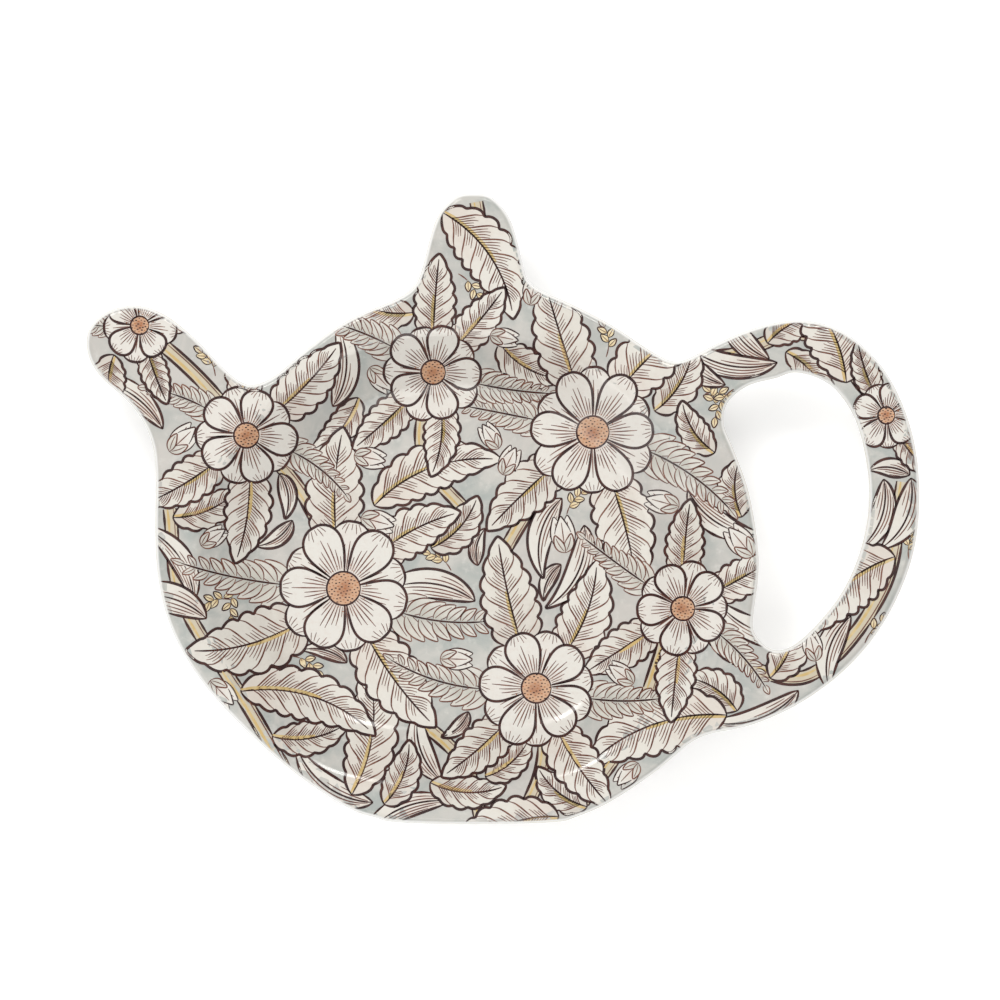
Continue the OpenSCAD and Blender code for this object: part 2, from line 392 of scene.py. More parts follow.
class Shell:
    """A mesh put together from rings of points and flat sheets between them, welded at the end."""

    def __init__(self):
        self.verts, self.normals, self.faces = [], [], []

    def add(self, verts, normals, faces):
        start = sum(len(v) for v in self.verts)
        self.verts.append(verts)
        self.normals.append(normals)
        self.faces.append(np.asarray(faces) + start)

    def band(self, path, profile, side=1):
        """Carries a profile of (distance inwards, height, normal's angle) along a path."""
        right, n, m = rightward(path), len(path), len(profile)
        verts = [raised(path + side * d * right, z) for d, z, _ in profile]
        normals = [raised(side * math.cos(a) * right, math.sin(a)) for _, _, a in profile]
        i, j = np.meshgrid(np.arange(n), np.arange(m - 1))
        a, b = j * n + i, j * n + (i + 1) % n
        quads = np.stack([a, b, b + n, a + n], -1).reshape(-1, 4)
        self.add(np.concatenate(verts), np.concatenate(normals), quads if side < 0 else quads[:, ::-1])

    def sheet(self, loops, z, up):
        """A flat sheet inside the first of some closed loops and outside the others."""
        def keep(p):
            return inside(loops[0], p) & ~np.any([inside(loop, p) for loop in loops[1:]], axis=0)

        xy, tris = triangulate(loops, (), keep)
        normals = np.tile([0, 0, 1 if up else -1], (len(xy), 1))
        self.add(raised(xy, z), normals, tris if up else tris[:, ::-1])

    def mesh(self, name):
        verts, normals = np.concatenate(self.verts), np.concatenate(self.normals)
        near = np.round(verts * WELD_PARTS)
        _, first, welded = np.unique(near, axis=0, return_index=True, return_inverse=True)
        faces = [welded.ravel()[f].tolist() for block in self.faces for f in block]
        faces = [f for f in faces if len(set(f)) == len(f)]
        return make_mesh(name, verts[first], faces, normals[first])


def arc(d, z, r, start, end, steps, flip=False):
    """Profile points on a round, from one angle of its normal to the other: 0 is inwards and 90 is up."""
    angles = [math.radians(start + (end - start) * k / steps) for k in range(steps + 1)]
    return [(d + r * math.cos(a), z + r * math.sin(a), a + math.pi if flip else a) for a in angles]


# Under the floor: how far inside the foot ring the flat begins, and the ease of the corner there
CAP_IN, CAP_EASE = 0.3, 0.05


def dish_mesh():
    """The moulding: rim with rounded edges, well, foot ring and even-walled underside."""
    slope = math.degrees(WALL_ANGLE)
    under_z = RIM_H - WALL
    foot_inner = WELL_RUN + FOOT_IN
    foot_outer = foot_inner - FOOT_W
    cap_z, cap_in = FLOOR_Z - WALL, foot_inner + CAP_IN
    edge = arc(UNDER_R, under_z + UNDER_R, UNDER_R, 270, 180, 6)
    edge += arc(EDGE_R, RIM_H - EDGE_R, EDGE_R, 180, 90, 10)
    well = arc(0, RIM_H - LIP_R, LIP_R, 90, 90 - slope, 8)
    well += arc(WELL_RUN, FLOOR_Z + FLOOR_R, FLOOR_R, 270 - slope, 270, 8, flip=True)
    under = [
        (cap_in, cap_z, math.radians(270)), (foot_inner + CAP_EASE, cap_z, math.radians(300)),
        (foot_inner, cap_z - CAP_EASE, math.radians(350)),
    ]
    under += arc(foot_inner - FOOT_R, FOOT_R, FOOT_R, 360, 270, 5)
    under += arc(foot_outer + FOOT_R, FOOT_R, FOOT_R, 270, 180, 5)
    back = arc(WELL_RUN, FLOOR_Z + FLOOR_R, FLOOR_R + WALL, 270, 270 - slope, 8)
    joint = [p for p in back if p[0] < foot_outer - FOOT_R]
    back = joint + arc(0, RIM_H - LIP_R, LIP_R - WALL, 90 - slope, 90, 6, flip=True)
    shell = Shell()
    shell.band(outline, edge)
    shell.band(opening, edge, -1)
    shell.band(lip, well)
    shell.band(lip, under + back)
    shell.sheet(edges_in(EDGE_R) + [lip], RIM_H, True)
    shell.sheet(edges_in(UNDER_R) + [lip], under_z, False)
    shell.sheet([inset(lip, WELL_RUN)], FLOOR_Z, True)
    shell.sheet([inset(lip, cap_in)], cap_z, False)
    return shell.mesh("dish_body")


# Where the foil's points lie: distances from the dish's edges, and a grid on what is flat
EDGE_ROWS = (PRINT_START, 0.4, 0.55, 0.72, FOIL_FULL)
GRID, LIP_CLEAR, EDGE_CLEAR, FLOOR_CLEAR = 2.5, 0.8, 1.8, 1
# Half of the length and of the width over which that grid and the motifs are spread
HALF_LENGTH, HALF_WIDTH = 62, 47


def face_points():
    """Points on the foil's face: close together where it bends, wide apart where it is flat."""
    bend = (LIP_R + FOIL_BODY) * WALL_SIN
    rows = np.concatenate([
        np.linspace(0, bend, 7), np.linspace(bend, WELL_RUN - FLOOR_R * WALL_SIN, 6)[1:-1],
        WELL_RUN - FLOOR_R * np.sin(np.linspace(WALL_ANGLE, 0, 8)),
    ])
    points = [inset(lip, d) for d in rows]
    points += [inset(outline, d) for d in EDGE_ROWS] + [inset(opening, -d) for d in EDGE_ROWS]
    xs, ys = np.arange(-HALF_LENGTH, HALF_LENGTH + 1, GRID), np.arange(-HALF_WIDTH, HALF_WIDTH + 1, GRID)
    flats = grid(xs, ys)
    well, edge = gap_to(lip, flats)[0], edge_gap(flats)[0]
    on_flat = ((well < -LIP_CLEAR) & (edge > EDGE_CLEAR)) | (well > WELL_RUN + FLOOR_CLEAR)
    return np.concatenate(points + [flats[on_flat]])


def on_face(p, start):
    """Whether each point lies on the face, at least a distance from its edges."""
    return edge_gap(p)[0] > start


def foil_mesh():
    """The printed foil: one closed sheet over the whole face, as thin as nothing at its edges."""
    spare, start = face_points(), FOIL_START - HAIR
    xy, tris = triangulate(edges_in(FOIL_START), spare, lambda p: on_face(p, start))
    z, normals, edge = top_face(xy)
    back = top_face(xy, 0)[0] - FOIL_SINK
    n = len(xy)
    sides = {(t[k - 1], t[k]) for t in tris.tolist() for k in range(3)}
    border = sides - {(b, a) for a, b in sides}
    verts = raised(np.tile(xy, (2, 1)), np.concatenate([z, back]))
    faces = tris.tolist() + (tris[:, ::-1] + n).tolist()
    faces += [[b, a, a + n, b + n] for a, b in sorted(border)]
    mesh = make_mesh("foil_body", verts, faces, np.concatenate([normals, -normals]))
    add_value(mesh, "edge", np.concatenate([edge, edge]))
    return mesh


# The print: a meadow of daisies and leaves

# Each motif covers those before it. Its wash is strongest at its root and gone at its reach.
Motif = namedtuple("Motif", "kind outline root reach strokes")
Stroke = namedtuple("Stroke", "pen width points")

# Widths of the strokes, and the step from one of their points to the next
OUTLINE_PEN, VEIN_PEN, HATCH_PEN = 0.43, 0.28, 0.18
PRINT_STEP = 0.3

rng = random.Random(41)


def smooth_line(points):
    """An open curve through a few points, with eight steps from each to the next."""
    p = np.array(points, float)
    p = np.concatenate([[2 * p[0] - p[1]], p, [2 * p[-1] - p[-2]]])
    t = (np.arange(8) / 8)[:, None]
    out = []
    for a, b, c, d in zip(p, p[1:], p[2:], p[3:]):
        square, cube = 2 * a - 5 * b + 4 * c - d, 3 * b - a - 3 * c + d
        out.append(0.5 * (2 * b + (c - a) * t + square * t**2 + cube * t**3))
    return np.concatenate(out + [p[-2:-1]])


def run_of(line):
    """How far along the line each of its points lies."""
    return np.concatenate([[0], np.cumsum(norms(np.diff(line, axis=0)))])


def resampled(line, step):
    """The line with its points about a step apart."""
    run = run_of(line)
    at = np.linspace(0, run[-1], max(3, round(run[-1] / step) + 1))
    return np.column_stack([np.interp(at, run, axis) for axis in line.T])


SPINE_STEPS = 32


class Spine:
    """The bent middle line of a leaf. A spot is a share of its length, and a distance to its left."""

    def __init__(self, at, turn, length, bend):
        self.share = np.linspace(0, 1, SPINE_STEPS + 1)
        angle = math.radians(turn) + math.radians(bend) * self.share
        steps = np.column_stack([np.cos(angle), np.sin(angle)]) * length / SPINE_STEPS
        self.line = np.concatenate([[at], np.array(at) + np.cumsum(steps[:-1], 0)])
        self.left = np.column_stack([-np.sin(angle), np.cos(angle)])

    def spots(self, s, v=0):
        return np.column_stack([
            np.interp(s, self.share, middle) + v * np.interp(s, self.share, left)
            for middle, left in zip(self.line.T, self.left.T)
        ])

    def spot(self, share, v=0):
        return self.spots([share], v)[0]

    def outline(self, s, half):
        """The curve round a half width on both sides, and the line that a pen draws along it."""
        left, right = self.spots(s, half), self.spots(s, -half)
        return np.concatenate([right[:-1], left[:0:-1]]), np.concatenate([left, right[-2::-1]])


# How far along a leaf its veins run, as a part of a tooth, and how near they come to its edge
VEIN_SLANT, VEIN_REACH = 1.25, 0.93


def leaf(kind, at, turn, length, width, bend, teeth):
    """A pointed leaf with a scalloped edge, a midrib, veins, and more hatching on its left side."""
    spine = Spine(at, turn, length, bend)
    s = np.linspace(0, 1, 8 * teeth + 1)
    half = s**0.62 * (1 - s)**0.86
    half *= width / 2 / half.max() * (0.83 + 0.2 * np.abs(np.sin(np.pi * s * teeth)) ** 0.6)
    half[0] = half[-1] = 0
    edge, drawn = spine.outline(s, half)
    strokes = [
        Stroke("bold", OUTLINE_PEN, drawn),
        Stroke("gold", 0.5, spine.spots(np.linspace(0, 0.55, 12), 0.28)),
        Stroke("bold", VEIN_PEN, spine.spots(np.linspace(0, 0.93, 16))),
    ]

    def slanted(pen_width, first, far, side, rise):
        """A stroke from the midrib towards a side's edge, as far of the way as a share."""
        along = np.linspace(0, 1, 5)
        share = first + along * far * VEIN_SLANT / teeth
        off = side * np.interp(share, s, half) * VEIN_REACH * far * along**rise
        return Stroke("fine", pen_width, spine.spots(share, off))

    for k in range(1, teeth - 1):
        start = (k - 0.35) / teeth
        for side in (1, -1):
            strokes.append(slanted(VEIN_PEN - 0.04, start, 1, side, 0.9))
            for j in range(1, 5 if side > 0 else 4):
                far = (0.8 - 0.08 * j if side > 0 else 0.48) * rng.uniform(0.75, 1.1)
                strokes.append(slanted(HATCH_PEN, start + j * 0.9 / teeth / 4.4, far, side, 1))
    return Motif(kind, edge, at, 0.9 * length, strokes)


def lines_along(spine, s, half, lines):
    """Fine strokes along a leaf, each at a part of its half width and over some shares of its length."""
    return [
        Stroke("fine", HATCH_PEN, spine.spots(shares, part * np.interp(shares, s, half)))
        for part, shares in lines
    ]


# Lines in a blade: the part of its half width at which they run, and their shares of its length
BLADE_LINES = (
    (0.3, 0.05, 0.8), (0.55, 0.12, 0.62), (0.78, 0.2, 0.5), (-0.3, 0.05, 0.5), (-0.6, 0.15, 0.36),
)


def blade(kind, at, turn, length, width, bend):
    """A long smooth leaf with lines that run along it."""
    spine = Spine(at, turn, length, bend)
    s = np.linspace(0, 1, 27)
    half = np.sin(np.pi * s**0.8) ** 0.9 * width / 2
    edge, drawn = spine.outline(s, half)
    strokes = [
        Stroke("bold", OUTLINE_PEN, drawn),
        Stroke("bold", VEIN_PEN, spine.spots(np.linspace(0, 0.95, 16))),
    ]
    strokes += lines_along(spine, s, half, [(part, np.linspace(a, b, 10)) for part, a, b in BLADE_LINES])
    return Motif(kind, edge, at, 0.8 * length, strokes)


def frond(at, turn, length, bend, pairs=8):
    """A fern's frond: pairs of small blades that get shorter towards its tip."""
    spine = Spine(at, turn, length, bend)
    out = []
    for k in range(pairs):
        share = 0.12 + 0.8 * k / pairs
        size = length * 0.3 * (1 - 0.75 * share)
        for side in (1, -1):
            way = turn + bend * share + side * 52
            out.append(small_blade("fern", spine.spot(share), way, size, size * 0.42, -side * 25))
    out.append(small_blade("fern", spine.spot(0.9), turn + bend, length * 0.12, 1.0, 0))
    rib = spine.spots(np.linspace(0, 0.93, 20))
    stem = [Stroke("bold", VEIN_PEN, rib)]
    return out + [Motif("fern", ribbon_outline(rib, 0.35), at, length, stem)]


def small_blade(kind, at, turn, length, width, bend):
    """A smooth small leaf with one line in it."""
    spine = Spine(at, turn, length, bend)
    s = np.linspace(0, 1, 11)
    edge, drawn = spine.outline(s, np.sin(np.pi * s**0.8) * width / 2)
    strokes = [
        Stroke("fine" if kind == "fern" else "bold", VEIN_PEN - 0.06, drawn),
        Stroke("fine", HATCH_PEN, spine.spots(np.linspace(0.1, 0.8, 6))),
    ]
    return Motif(kind, edge, at, length, strokes)


# A turn, in radians, that spreads the dots of a flower's middle evenly
GOLDEN_TURN = 2.39996


def daisy(at, radius, petals, turn):
    """An open flower from the front: a ring of notched petals round a dotted middle."""
    out = []
    for k in (*range(0, petals, 2), *range(1, petals, 2)):
        way = turn + 360 * k / petals + rng.uniform(-3, 3)
        length, width = radius * rng.uniform(0.93, 1.04), 2 * math.pi * radius / petals * 1.02
        out.append(petal(at, way, length, width, radius))
    core = radius * 0.25
    a = np.linspace(0, 2 * math.pi, 25)[:-1]
    edge = np.column_stack([np.cos(a), np.sin(a)]) * core + at
    strokes = [Stroke("bold", VEIN_PEN, np.concatenate([edge, edge[:1]]))]
    count = int(9 * core**2) + 12
    for k in range(count):
        r, a = core * 0.93 * math.sqrt((k + 0.5) / count), k * GOLDEN_TURN
        spot = at[0] + r * math.cos(a), at[1] + r * math.sin(a)
        strokes.append(dot(*spot, rng.uniform(0.12, 0.19), "bold" if k % 3 else "amber"))
    out.append(Motif("centre", edge, at, core, strokes))
    return out


def dot(x, y, r, pen):
    """A stroke about as long as it is wide."""
    return Stroke(pen, 2 * r, np.array([[x - r * 0.8, y], [x, y], [x + r * 0.8, y]]))


# Lines in a petal: the same parts, and the shares up to which they run from its root or its tip
PETAL_ROOT_LINES = (
    (-0.7, 0.46), (-0.48, 0.56), (-0.24, 0.66), (0.02, 0.74), (0.26, 0.62), (0.5, 0.56), (0.74, 0.44),
)
PETAL_TIP_LINES = ((-0.52, 0.84), (-0.25, 0.8), (0.04, 0.85), (0.36, 0.79), (0.6, 0.84))


def petal(at, turn, length, width, radius):
    """A petal with a faint notch, lines from its root and its tip, and a few dots."""
    spine = Spine(at, turn, length, rng.uniform(-8, 8))
    s = np.linspace(0, 1, 19)
    half = width / 2 * np.clip(np.sin(np.pi * np.minimum(s, 0.985) ** 1.9), 0, 1) ** 0.55
    half[0] = 0
    notch = 1 - 0.05 * np.exp(-((half / (width * 0.16)) ** 2)) * (s > 0.9)
    left, right = spine.spots(s * notch, half), spine.spots(s * notch, -half)
    edge = np.concatenate([right[1:], left[:0:-1]])
    strokes = [Stroke("bold", OUTLINE_PEN - 0.02, np.concatenate([left[1:], right[:0:-1]]))]
    lines = [(part, np.linspace(0.27, end * rng.uniform(0.9, 1.1), 7)) for part, end in PETAL_ROOT_LINES]
    lines += [(part, np.linspace(0.94, end, 5)) for part, end in PETAL_TIP_LINES]
    strokes += lines_along(spine, s, half, lines)
    for k in range(4):
        strokes.append(dot(*spine.spot(0.29 + 0.035 * (k % 2), (k - 1.5) * 0.16 * width), 0.12, "amber"))
    return Motif("petal", edge, at, radius * 0.72, strokes)


# The parts of a bud: kind, lean, length and width as shares of its size, bend
BUD_PARTS = (
    ("petal", -17, 1, 0.42, 14), ("petal", 17, 1, 0.42, -14), ("petal", 0, 0.97, 0.44, 0),
    ("fern", -38, 0.55, 0.24, 30), ("fern", 38, 0.55, 0.24, -30),
)


def bud(at, turn, size):
    """A bud that has just begun to open, in its cup of small leaves."""
    return [
        small_blade(kind, at, turn + lean, size * length, size * width, bend)
        for kind, lean, length, width, bend in BUD_PARTS
    ]


def seeds(at, turn, length):
    """A bent sprig with drop-shaped seeds on both sides."""
    spine = Spine(at, turn, length, rng.choice((-50, 50)))
    line = spine.spots(np.linspace(0, 1, 12))
    stem = [Stroke("fine", VEIN_PEN, line)]
    out = [Motif("stem", ribbon_outline(line, 0.1), at, length, stem)]
    for k, share in enumerate((0.35, 0.5, 0.65, 0.8, 1.0)):
        way = turn + spine_turn(spine, share) + (0 if share == 1 else (42 if k % 2 else -42))
        out.append(small_blade("seed", spine.spot(share), way, 1.75, 1.0, 0))
    return out


def spine_turn(spine, share):
    """How far a spine has turned from its start, in degrees, at a share of its length."""
    (a, b), (c, d) = spine.left[0], [np.interp(share, spine.share, axis) for axis in spine.left.T]
    return math.degrees(math.atan2(a * d - b * c, a * c + b * d))


def ribbon_outline(line, width):
    """The closed curve round a line drawn at one width."""
    left, right = ribbon(line, width, 0)
    return np.concatenate([right, left[::-1]])


def ribbon(line, width, taper):
    """The two sides of a line drawn with a pen, thinner over the length of its taper at each end."""
    t = np.gradient(line, axis=0)
    t /= np.maximum(norms(t), 1e-9)[:, None]
    run = run_of(line)
    near_end = np.minimum(run, run[-1] - run)
    half = width / 2 * (np.clip(0.45 + 0.55 * near_end / taper, 0, 1) if taper else np.ones(len(line)))
    off = np.column_stack([-t[:, 1], t[:, 0]]) * half[:, None]
    return line + off, line - off


def vine(points):
    """A stem with a light side and a hatched side, washed evenly over its whole length."""
    line = resampled(smooth_line(points), 1.0)
    left, right = ribbon(line, 1.9, 0)
    strokes = [
        Stroke("bold", OUTLINE_PEN, left),
        Stroke("bold", OUTLINE_PEN, right),
        Stroke("gold", 0.42, line + (left - line) * 0.35),
        Stroke("fine", HATCH_PEN, line + (right - line) * 0.55),
    ]
    return Motif("stem", np.concatenate([right, left[::-1]]), line[0], 1e3, strokes)


# Where the daisies stand: place, radius, number of petals
DAISIES = [
    ((-24, -12), 10.2, 11), ((13.5, 11.5), 9.8, 12), ((5, -27), 9.0, 11), ((-38.5, 11), 7.6, 10),
    ((-10.5, 20.5), 7.4, 10), ((27, -15), 7.2, 10), ((-54.5, 27.5), 5.6, 9), ((57.5, 14), 5.2, 9),
]
VINES = [
    [(-3, -48), (-6, -38), (-16, -28), (-24, -12), (-30, 2), (-38, 11), (-46, 20), (-55, 28)],
    [(2, -48), (6, -38), (5, -27), (-2, -14), (4, 0), (13, 11), (22, 22), (34, 23), (46, 26), (57, 15)],
    [(-4, -2), (-12, 8), (-10, 20), (-2, 32), (-4, 46)],
    [(12, -44), (20, -32), (27, -15), (34, -22), (46, -25), (57, -12), (60, 4)],
    [(-30, -44), (-38, -30), (-48, -14), (-50, 0)],
]


# A square of cells, each so many millimetres wide, says where the face is free, taken or not printed.
CELL, CELLS = 0.7, 200
FREE, TAKEN, OFF = 0, 1, 2
middles = (np.arange(CELLS) - (CELLS - 1) / 2) * CELL
covered = np.where(on_face(grid(middles, middles), 0.5).reshape(CELLS, CELLS).T, FREE, OFF)
# At most this share of a group of motifs may lie off the print.
MOST_OFF = 0.6


def overlap(motif):
    """The shares of a motif's cells that are taken and that are off the print, and the cells."""
    low, high = motif.outline.min(0), motif.outline.max(0)
    p = grid(np.arange(low[0], high[0], CELL), np.arange(low[1], high[1], CELL))
    cells = np.floor(p[inside(motif.outline, p)] / CELL).astype(int) + CELLS // 2
    cells = cells[(cells >= 0).all(1) & (cells < CELLS).all(1)]
    if not len(cells):
        return 1, 1, cells
    state = covered[cells[:, 0], cells[:, 1]]
    return (state == TAKEN).mean(), (state == OFF).mean(), cells


def cover(cells):
    """Marks cells as taken, apart from those off the print."""
    state = covered[cells[:, 0], cells[:, 1]]
    covered[cells[:, 0], cells[:, 1]] = np.where(state == OFF, OFF, TAKEN)


def planted(motifs):
    """The motifs, once their cells are marked as taken."""
    for m in motifs:
        cover(overlap(m)[2])
    return motifs


def scatter(make, tries, most):
    """Sets groups of motifs, as make gives them for a place, where at most a share is taken."""
    out = []
    for _ in range(tries):
        at = (rng.uniform(-HALF_LENGTH, HALF_LENGTH), rng.uniform(-HALF_WIDTH, HALF_WIDTH))
        if covered[tuple(math.floor(v / CELL) + CELLS // 2 for v in at)] != FREE:
            continue
        group = make(at)
        taken, off, _ = zip(*[overlap(m) for m in group])
        if sum(taken) / len(group) <= most and sum(off) / len(group) <= MOST_OFF:
            out += planted(group)
    return out


def sweep(at):
    """The way that leaves lean at a place, in degrees: a slow swirl over the face."""
    x, y = at
    return 70 + 2.1 * x - 1.3 * y + 40 * math.sin(x / 11) + 35 * math.cos(y / 9)


def leaning(at, spread, lean=0):
    """A way in degrees at a lean to the swirl, give or take a spread."""
    return sweep(at) + lean + rng.uniform(-spread, spread)


def sprout(make, kind, lean, spread, lengths, widths, bends, *teeth):
    """What grows single leaves at a lean to the swirl, or any way where that is None."""
    def grow(at):
        turn = rng.uniform(0, 360) if lean is None else leaning(at, spread, lean)
        length, width, bend = rng.uniform(*lengths), rng.uniform(*widths), rng.choice(bends)
        return [make(kind, at, turn, length, width, bend, *teeth)]
    return grow


def grow_frond(at):
    return frond(at, leaning(at, 90), rng.uniform(9, 13), rng.choice((-60, 60)), 7)


def posy(at, radius):
    """Leaves and fronds all round a daisy, which covers their roots."""
    out = []
    start = rng.uniform(0, 60)
    count = 6 if radius > 7 else 4
    for k in range(count):
        way = start + 360 * k / count + rng.uniform(-12, 12)
        a = math.radians(way)
        root = (at[0] + 0.55 * radius * math.cos(a), at[1] + 0.55 * radius * math.sin(a))
        size = radius * rng.uniform(1.55, 2.1)
        if k % 3 == 2:
            out += frond(root, way, size * 1.05, rng.uniform(-40, 40))
        else:
            kind = "leaf" if k % 2 else "cream"
            out.append(leaf(kind, root, way, size, size * 0.46, rng.uniform(-45, 45), 7))
    return out


def meadow():
    """All motifs, from the lowest to the highest."""
    flowers = [m for at, radius, petals in DAISIES for m in daisy(at, radius, petals, rng.uniform(0, 40))]
    posies = [m for at, radius, _ in DAISIES for m in posy(at, radius)]
    planted(flowers + posies)
    big = scatter(sprout(leaf, "cream", 0, 30, (17, 24), (7.5, 10), (-55, 50), 8), 900, 0.2)
    long = scatter(sprout(blade, "cream", 90, 40, (12, 19), (3.4, 4.6), (-70, 70)), 1200, 0.2)
    mid = scatter(sprout(leaf, "leaf", -60, 50, (9, 13), (4.4, 6), (-50, 50), 6), 1800, 0.22)
    ferns = scatter(grow_frond, 700, 0.3)
    stems = planted([vine(points) for points in VINES])
    buds = scatter(lambda at: bud(at, leaning(at, 60), rng.uniform(4.5, 6)), 900, 0.16)
    small = scatter(sprout(blade, "leaf", None, 0, (5.5, 8), (2, 2.8), (-60, 60)), 1600, 0.12)
    sprigs = scatter(lambda at: seeds(at, rng.uniform(0, 360), rng.uniform(4, 5.5)), 2500, 0.2)
    return stems + ferns + sprigs + small + long + mid + big + posies + buds + flowers


# From the design to thin layers on the face

# Steps of the fills' outlines, and of the strokes where it is asked what covers them
FILL_STEP, STROKE_STEP = 0.38, 0.13
# Points that a stroke has to have between two motifs that cover it
SHORTEST_RUN = 3
# The length over which a pen stroke gets thinner at its ends
TAPER = 1.6


def fill_meshes(motifs):
    """Touching pieces, cut where a higher motif begins, as one mesh for each kind of motif."""
    points, edges, faces = [], [], []
    for m in motifs:
        shape = resampled(np.concatenate([m.outline, m.outline[:1]]), FILL_STEP)[:-1]
        x, y = shape.T
        if (x * np.roll(y, -1) - y * np.roll(x, -1)).sum() < 0:
            shape = shape[::-1]
        faces.append(list(range(len(points), len(points) + len(shape))))
        points += shape.tolist()
    for loop in edges_in(PRINT_START):
        edges += ring(len(points), len(loop))
        points += loop.tolist()
    points += face_points()[::2].tolist()
    points = [Vector(p) for p in points]
    verts, _, tris, _, _, owners = delaunay_2d_cdt(points, edges, faces, 0, SAME_POINT)
    xy = np.array(verts, float)
    top = np.array([max(o) if o else -1 for o in owners])
    tris, area = turned_up(xy, np.array(tris))
    good = (top >= 0) & (area > LEAST_TRIANGLE) & on_face(xy[tris].mean(1), PRINT_START)
    tris, top, area = tris[good], top[good], area[good]
    z, normals, edge = top_face(xy)
    kinds = np.array([m.kind for m in motifs])
    roots, reaches = np.array([m.root for m in motifs]), np.array([m.reach for m in motifs])
    tone = np.array([rng.random() for _ in motifs])
    for kind in FILL_COLOURS:
        mine = np.flatnonzero(kinds[top] == kind)
        patch = patches(tris[mine])
        mine = mine[np.bincount(patch, area[mine])[patch] > LEAST_PATCH]
        used, local = np.unique(tris[mine], return_inverse=True)
        verts = raised(xy[used], z[used] + FILL_LIFT)
        mesh = make_mesh("print_" + kind, verts, local.reshape(-1, 3).tolist(), normals[used])
        add_value(mesh, "edge", edge[used])
        owner = np.repeat(top[mine], 3)
        wash = 1 - norms(xy[tris[mine].ravel()] - roots[owner]) / reaches[owner]
        add_value(mesh, "wash", np.clip(wash, 0, 1), "CORNER")
        add_value(mesh, "tone", tone[owner], "CORNER")
        yield kind, mesh


def visible_runs(motifs):
    """The parts of all strokes that no higher motif covers, as (pen, width, line)."""
    strokes = [s for m in motifs for s in m.strokes]
    lines = [resampled(s.points, min(STROKE_STEP, run_of(s.points)[-1] / 3)) for s in strokes]
    points, counts = np.concatenate(lines), [len(line) for line in lines]
    owner = np.repeat([k for k, m in enumerate(motifs) for _ in m.strokes], counts)
    shown = on_face(points, PRINT_START)
    for k, m in enumerate(motifs):
        low, high = m.outline.min(0), m.outline.max(0)
        near = np.flatnonzero(shown & (owner < k) & (points > low).all(1) & (points < high).all(1))
        shown[near[inside(m.outline, points[near])]] = False
    runs = []
    for stroke, line, seen in zip(strokes, lines, np.split(shown, np.cumsum(counts)[:-1])):
        cuts = np.flatnonzero(np.diff(np.concatenate([[0], seen.astype(int), [0]])))
        for a, b in zip(cuts[::2], cuts[1::2]):
            if b - a >= SHORTEST_RUN:
                runs.append((stroke.pen, stroke.width, line[a:b]))
    return runs


def line_meshes(motifs):
    """The strokes as thin ribbons on top of the fills, as one mesh for each pen."""
    sides = {pen: [] for pen in INK_COLOURS}
    for pen, width, line in visible_runs(motifs):
        line = resampled(line, PRINT_STEP)
        line = np.concatenate([line[:1], (line[:-2] + 2 * line[1:-1] + line[2:]) / 4, line[-1:]])
        sides[pen].append(ribbon(line, width, TAPER))
    for pen, ribbons in sides.items():
        xy = np.concatenate([side for pair in ribbons for side in pair])
        tris, start = [], 0
        for left, _ in ribbons:
            n = len(left)
            for i in range(start, start + n - 1):
                tris += [(i, i + n, i + n + 1), (i, i + n + 1, i + 1)]
            start += 2 * n
        tris, area = turned_up(xy, np.array(tris))
        z, normals, edge = top_face(xy)
        tris = tris[area > LEAST_TRIANGLE].tolist()
        mesh = make_mesh("ink_" + pen, raised(xy, z + LINE_LIFT), tris, normals)
        add_value(mesh, "edge", edge)
        yield pen, mesh


# Materials


def colour(*shown):
    """A colour as it shows, from 0 to 255, turned into the linear one that shaders take."""
    rgb = [c / 255 for c in shown]
    return *[c / 12.92 if c <= 0.04045 else ((c + 0.055) / 1.055) ** 2.4 for c in rgb], 1


WHITE = colour(238, 238, 236)
RESIN_IOR = 1.52
# Distances from the moulding's edge at which the print begins to show and shows in full
PRINT_FADE = (0.2, 0.58)


